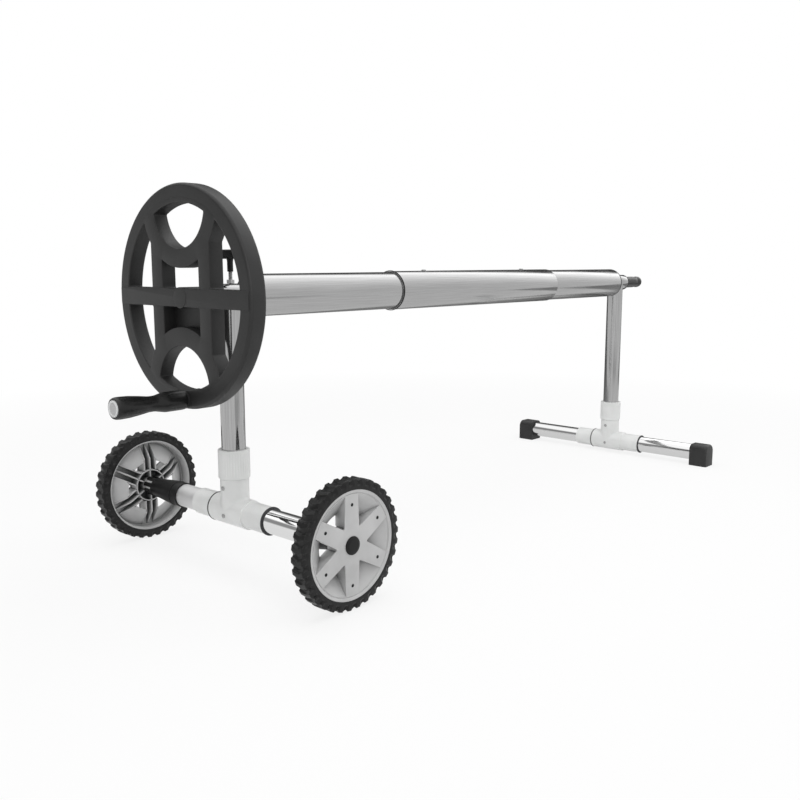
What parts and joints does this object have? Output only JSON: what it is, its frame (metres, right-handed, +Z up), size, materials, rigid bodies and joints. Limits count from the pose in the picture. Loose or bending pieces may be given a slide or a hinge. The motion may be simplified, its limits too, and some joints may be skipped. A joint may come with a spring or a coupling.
{
  "type": "pool cover reel",
  "caption": "Telescoping tube on two inverted-T stands, turned by a large hand wheel with a crank grip; one stand rolls on wheels and the other rests on feet.",
  "frame": {"origin": "on the floor, under the middle of the whole reel as stored", "axes": "+X along the reel tube from the hand wheel to the far grip, +Y along the base tubes of the stands, +Z up"},
  "size_m": [1.8264, 0.64, 0.7154],
  "materials": {
    "reel_aluminium": "satin drawn tube",
    "polished_aluminium": "polished",
    "chrome_tube": "mirror",
    "zinc_steel": "zinc plated",
    "white_pvc": "moulded, slightly glossy",
    "black_plastic": "fine moulded grain",
    "grey_plastic": "moulded",
    "tyre_rubber": "moulded lugs",
    "black_rubber": "matt"
  },
  "bodies": {
    "drive_stand": {"drive_leg": "polished_aluminium", "drive_bearing_housing": "polished_aluminium", "drive_bush_outer": "black_plastic", "drive_bush_inner": "black_plastic", "brake_nut": "zinc_steel", "drive_tee": "white_pvc", "drive_leg_nut": "white_pvc", "drive_base_tube": "chrome_tube", "drive_seal_left": "black_rubber", "drive_seal_right": "black_rubber", "drive_tee_screw_upper": "zinc_steel", "drive_tee_screw_lower": "zinc_steel", "base_cap_left": "black_plastic", "base_cap_right": "black_plastic", "wheel_spacer_left": "black_plastic", "wheel_spacer_right": "black_plastic", "wheel_axle": "zinc_steel", "axle_nut_left": "zinc_steel", "axle_nut_right": "zinc_steel"},
    "wheel_left": {"wheel_rim_left": "grey_plastic", "tyre_left": "tyre_rubber", "hub_cap_left": "black_plastic"},
    "wheel_right": {"wheel_rim_right": "grey_plastic", "tyre_right": "tyre_rubber", "hub_cap_right": "black_plastic"},
    "reel": {"hand_wheel": "black_plastic", "drive_axle": "zinc_steel", "hub_bolt": "zinc_steel", "drive_tube": "reel_aluminium", "drive_plug": "black_plastic", "crank_spindle": "zinc_steel", "crank_end_disc": "zinc_steel"},
    "crank": {"crank_grip": "black_rubber"},
    "sleeve": {"sleeve_tube": "reel_aluminium", "sleeve_ring": "black_plastic", "set_screw_drive": "zinc_steel", "set_screw_far": "zinc_steel"},
    "far_reel": {"far_tube": "reel_aluminium", "far_plug": "black_plastic", "far_axle": "zinc_steel", "far_grip": "black_rubber"},
    "far_stand": {"far_leg": "polished_aluminium", "far_bearing_housing": "polished_aluminium", "far_bush_outer": "black_plastic", "far_bush_inner": "black_plastic", "far_tee": "white_pvc", "far_leg_nut": "white_pvc", "far_base_tube": "chrome_tube", "far_seal_left": "black_rubber", "far_seal_right": "black_rubber", "far_tee_screw_upper": "zinc_steel", "far_tee_screw_lower": "zinc_steel", "foot_cap_left": "black_rubber", "foot_cap_right": "black_rubber"},
    "brake_screw": {"brake_rod": "zinc_steel"},
    "brake_knob": {"brake_handle": "black_plastic"}
  },
  "joints": [
    {"name": "wheel_left_spin", "type": "hinge", "parent": "drive_stand", "child": "wheel_left", "pos_m": [-0.6678, 0.302, 0.1136], "axis": [0, 1, 0], "continuous": true},
    {"name": "wheel_right_spin", "type": "hinge", "parent": "drive_stand", "child": "wheel_right", "pos_m": [-0.6678, -0.302, 0.1136], "axis": [0, 1, 0], "continuous": true},
    {"name": "reel_spin", "type": "hinge", "parent": "drive_stand", "child": "reel", "pos_m": [-0.6678, 0, 0.519], "axis": [1, 0, 0], "continuous": true},
    {"name": "crank_grip_spin", "type": "hinge", "parent": "reel", "child": "crank", "pos_m": [-0.7752, 0, 0.3394], "axis": [1, 0, 0], "continuous": true},
    {"name": "sleeve_slide", "type": "slide", "parent": "reel", "child": "sleeve", "axis": [1, 0, 0], "range_m": [0, 0.2]},
    {"name": "far_tube_slide", "type": "slide", "parent": "sleeve", "child": "far_reel", "axis": [1, 0, 0], "range_m": [0, 0.2]},
    {"name": "far_stand_swivel", "type": "hinge", "parent": "far_reel", "child": "far_stand", "pos_m": [0.7708, 0, 0.519], "axis": [1, 0, 0], "continuous": true},
    {"name": "brake_turn", "type": "hinge", "parent": "brake_screw", "child": "brake_knob", "pos_m": [-0.6638, 0, 0.519], "axis": [0, 0, 1], "range_deg": [0, 1155]},
    {"name": "brake_lift", "type": "slide", "parent": "drive_stand", "child": "brake_screw", "axis": [0, 0, 1], "range_m": [0, 0.004]}
  ],
  "couplings": [
    {"joint": "far_stand_swivel", "follows": "reel_spin", "ratio": -1},
    {"joint": "brake_turn", "follows": "brake_lift", "rad_per_m": 5026.5}
  ]
}
